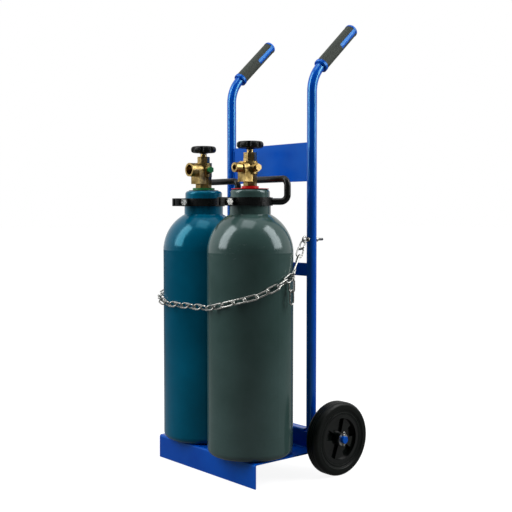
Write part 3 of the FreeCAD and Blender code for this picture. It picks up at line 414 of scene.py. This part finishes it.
def swept_loop(path, outwards, normal, radii, sides):
    """Points and faces of a closed round wire along a flat path."""
    points = []
    for centre, outward, radius in zip(path, outwards, radii):
        for side in range(sides):
            angle = 2 * math.pi * side / sides
            across = outward * (radius * math.cos(angle))
            points.append(centre + across + normal * (radius * math.sin(angle)))
    faces = []
    count = len(path)
    for step in range(count):
        after = (step + 1) % count
        for side in range(sides):
            beside = (side + 1) % sides
            low, high = step * sides, after * sides
            faces.append((low + side, low + beside, high + beside, high + side))
    return points, faces


def wire_link(corners):
    """A smooth link of round wire, with its weld on one side, in the place of a faceted one."""
    middle = corners.mean(0)
    axes = np.linalg.svd(corners - middle)[2]
    along, lateral, normal = (Vector(axis) for axis in axes)
    centre = Vector(middle)
    radius = LINK_WIRE / 2
    bow = LINK_WIDTH / 2 - radius
    straight = LINK_INNER / 2 + radius - bow
    path, outwards, radii = [], [], []
    for side in (1, -1):
        for step in range(LINK_ARC_STEPS + 1):
            angle = math.pi * (step / LINK_ARC_STEPS - 0.5)
            outward = (along * math.cos(angle) + lateral * math.sin(angle)) * side
            path.append(centre + along * (straight * side) + outward * bow)
            outwards.append(outward)
            radii.append(radius)
        for step in range(1, LINK_SIDE_STEPS):
            share = 1 - 2 * step / LINK_SIDE_STEPS
            path.append(centre + (along * (straight * share) + lateral * bow) * side)
            outwards.append(lateral * side)
            weld = math.exp(-(straight * share / LINK_WELD_HALF) ** 2) if side == 1 else 0
            radii.append(radius * (1 + LINK_WELD_SHARE * weld))
    return swept_loop(path, outwards, normal, radii, WIRE_SIDES)


def wire_links(name, node):
    points, faces = [], []
    for corners in islands(node):
        link_points, link_faces = wire_link(corners)
        start = len(points)
        points += link_points
        faces += [tuple(start + index for index in face) for face in link_faces]
    piece = new_piece(name, points, faces, MATERIALS["zinc_steel"], "frame")
    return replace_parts(piece, node)


wire_links("chain_links", "chain")
wire_links("chain_tail_links", "chain_tail")


def weld_bead(points, faces, start, end):
    """Adds a run of weld: a low rounded ridge with ripples, thinner at its ends."""
    start, end = Vector(start), Vector(end)
    along = (end - start).normalized()
    across = along.orthogonal().normalized()
    up = along.cross(across)
    length = (end - start).length
    steps = max(BEAD_SIDES, int(length / BEAD_STEP))
    first = len(points)
    for step in range(steps + 1):
        share = step / steps
        ripple = 1 + BEAD_RIPPLE_SHARE * math.sin(share * length / BEAD_RIPPLE * 2 * math.pi)
        taper = min(1.0, BEAD_TAPER_RATE * min(share, 1 - share) + BEAD_TAPER_START)
        reach = BEAD_RADIUS * ripple * taper
        centre = start + along * (length * share)
        for side in range(BEAD_SIDES):
            angle = 2 * math.pi * side / BEAD_SIDES
            points.append(centre + across * (reach * math.cos(angle)) + up * (reach * math.sin(angle)))
    for step in range(steps):
        low = first + step * BEAD_SIDES
        high = low + BEAD_SIDES
        for side in range(BEAD_SIDES):
            beside = (side + 1) % BEAD_SIDES
            faces.append((low + side, low + beside, high + beside, high + side))
    last = first + steps * BEAD_SIDES
    faces.append(tuple(first + side for side in reversed(range(BEAD_SIDES))))
    faces.append(tuple(last + side for side in range(BEAD_SIDES)))


def frame_welds():
    """Welds where the plate and the bar meet the uprights, on the front and the back."""
    points, faces = [], []
    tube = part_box("right_upright")[0].x
    for node in ("top_plate", "mid_bar"):
        low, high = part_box(node)
        bottom, top = low.z + BEAD_INSET, high.z - BEAD_INSET
        for x in (-tube, tube):
            for y in (low.y - BEAD_PROUD, high.y + BEAD_PROUD):
                weld_bead(points, faces, (x, y, bottom), (x, y, top))
    piece = new_piece("frame_welds", points, faces, MATERIALS["frame_paint"], "frame")
    return piece


frame_welds()


# Stage, light and camera

def stage_material(name):
    """Pale floor with the object's shadow: white to the camera, and weaker in gloss and as a light."""
    material = bpy.data.materials.new(name)
    material.use_nodes = True
    tree = material.node_tree
    tree.nodes.clear()

    def node(kind, **inputs):
        made = tree.nodes.new(kind)
        for socket, value in inputs.items():
            made.inputs[socket.replace("_", " ")].default_value = value
        return made

    def mixed(factor, first, second):
        mix = tree.nodes.new("ShaderNodeMixShader")
        if isinstance(factor, float):
            mix.inputs["Fac"].default_value = factor
        else:
            tree.links.new(factor, mix.inputs["Fac"])
        tree.links.new(first.outputs[0], mix.inputs[1])
        tree.links.new(second.outputs[0], mix.inputs[2])
        return mix

    def joined(operation, first, second):
        made = tree.nodes.new("ShaderNodeMath")
        made.operation = operation
        tree.links.new(first, made.inputs[0])
        tree.links.new(second, made.inputs[1])
        return made.outputs[0]

    glow = node("ShaderNodeEmission", Strength=FLOOR_GLOW)
    pale = node("ShaderNodeBsdfDiffuse", Color=FLOOR_GREY)
    dim = node("ShaderNodeBsdfDiffuse", Color=BOUNCE_GREY)
    rays = tree.nodes.new("ShaderNodeLightPath").outputs
    place = tree.nodes.new("ShaderNodeTexCoord")
    away = tree.nodes.new("ShaderNodeVectorMath")
    away.operation = "LENGTH"
    tree.links.new(place.outputs["Object"], away.inputs[0])
    near = node("ShaderNodeMapRange", From_Min=GLOSS_REACH[0], From_Max=GLOSS_REACH[1],
                To_Min=GLOSS_SHARES[0], To_Max=GLOSS_SHARES[1])
    tree.links.new(away.outputs["Value"], near.inputs["Value"])
    unseen = mixed(joined("MULTIPLY", rays["Is Glossy Ray"], near.outputs[0]), dim, glow)
    seen = mixed(FLOOR_SHARE, pale, glow)
    sight = joined("MAXIMUM", rays["Is Camera Ray"], rays["Is Transmission Ray"])
    output = tree.nodes.new("ShaderNodeOutputMaterial")
    tree.links.new(mixed(sight, unseen, seen).outputs[0], output.inputs["Surface"])
    return material


def floor():
    mesh = bpy.data.meshes.new("floor")
    corners = [(x * FLOOR_HALF, y * FLOOR_HALF, 0) for x, y in ((-1, -1), (1, -1), (1, 1), (-1, 1))]
    mesh.from_pydata(corners, [], [(0, 1, 2, 3)])
    mesh.materials.append(stage_material("floor"))
    plane = bpy.data.objects.new("floor", mesh)
    bpy.context.scene.collection.objects.link(plane)


def world():
    """A pale backdrop on the far side and a dimmer room in front; plain white to the camera."""
    scene_world = bpy.data.worlds.new("studio")
    scene_world.use_nodes = True
    bpy.context.scene.world = scene_world
    tree = scene_world.node_tree
    back = tree.nodes["Background"]
    back.inputs["Color"].default_value = (1, 1, 1, 1)
    place = tree.nodes.new("ShaderNodeTexCoord")
    facing = tree.nodes.new("ShaderNodeVectorMath")
    facing.operation = "DOT_PRODUCT"
    facing.inputs[1].default_value = (-math.sin(CAMERA_TURN), math.cos(CAMERA_TURN), ROOM_LIFT)
    tree.links.new(place.outputs["Generated"], facing.inputs[0])
    room = tree.nodes.new("ShaderNodeMapRange")
    room.interpolation_type = "SMOOTHSTEP"
    tree.links.new(facing.outputs["Value"], room.inputs["Value"])
    room.inputs["From Min"].default_value = ROOM_TURN[0]
    room.inputs["From Max"].default_value = ROOM_TURN[1]
    room.inputs["To Min"].default_value = ROOM_FRONT
    room.inputs["To Max"].default_value = ROOM_BACK
    rays = tree.nodes.new("ShaderNodeLightPath")
    strength = tree.nodes.new("ShaderNodeMath")
    strength.operation = "MAXIMUM"
    tree.links.new(rays.outputs["Is Camera Ray"], strength.inputs[0])
    tree.links.new(room.outputs[0], strength.inputs[1])
    tree.links.new(strength.outputs[0], back.inputs["Strength"])


def softbox(name, bearing, distance, height, width, length, power):
    """A rectangular studio lamp that faces a point above the object."""
    lamp = bpy.data.lights.new(name, "AREA")
    lamp.shape = "RECTANGLE"
    lamp.size = width
    lamp.size_y = length
    lamp.energy = power
    thing = bpy.data.objects.new(name, lamp)
    angle = math.radians(bearing)
    place = Vector((distance * math.cos(angle), distance * math.sin(angle), height))
    thing.location = place
    thing.rotation_euler = (Vector((0, 0, LAMP_AIM)) - place).to_track_quat("-Z", "Y").to_euler()
    bpy.context.scene.collection.objects.link(thing)


def camera():
    lens = bpy.data.cameras.new("photo_camera")
    lens.sensor_width = SENSOR_WIDTH
    lens.lens = SENSOR_WIDTH * FOCAL_PIXELS / FRAME_PIXELS
    thing = bpy.data.objects.new("photo_camera", lens)
    level = math.cos(CAMERA_PITCH)
    ahead = Vector((-math.sin(CAMERA_TURN) * level, math.cos(CAMERA_TURN) * level, -math.sin(CAMERA_PITCH)))
    right = Vector((math.cos(CAMERA_TURN), math.sin(CAMERA_TURN), 0))
    up = right.cross(ahead)
    turned = Matrix((right, up, -ahead)).transposed().to_4x4()
    thing.matrix_world = Matrix.Translation(CAMERA_PLACE) @ turned
    bpy.context.scene.collection.objects.link(thing)
    bpy.context.scene.camera = thing


floor()
world()
for lamp in SOFTBOXES:
    softbox(*lamp)
camera()
bpy.context.scene.view_settings.view_transform = "Standard"
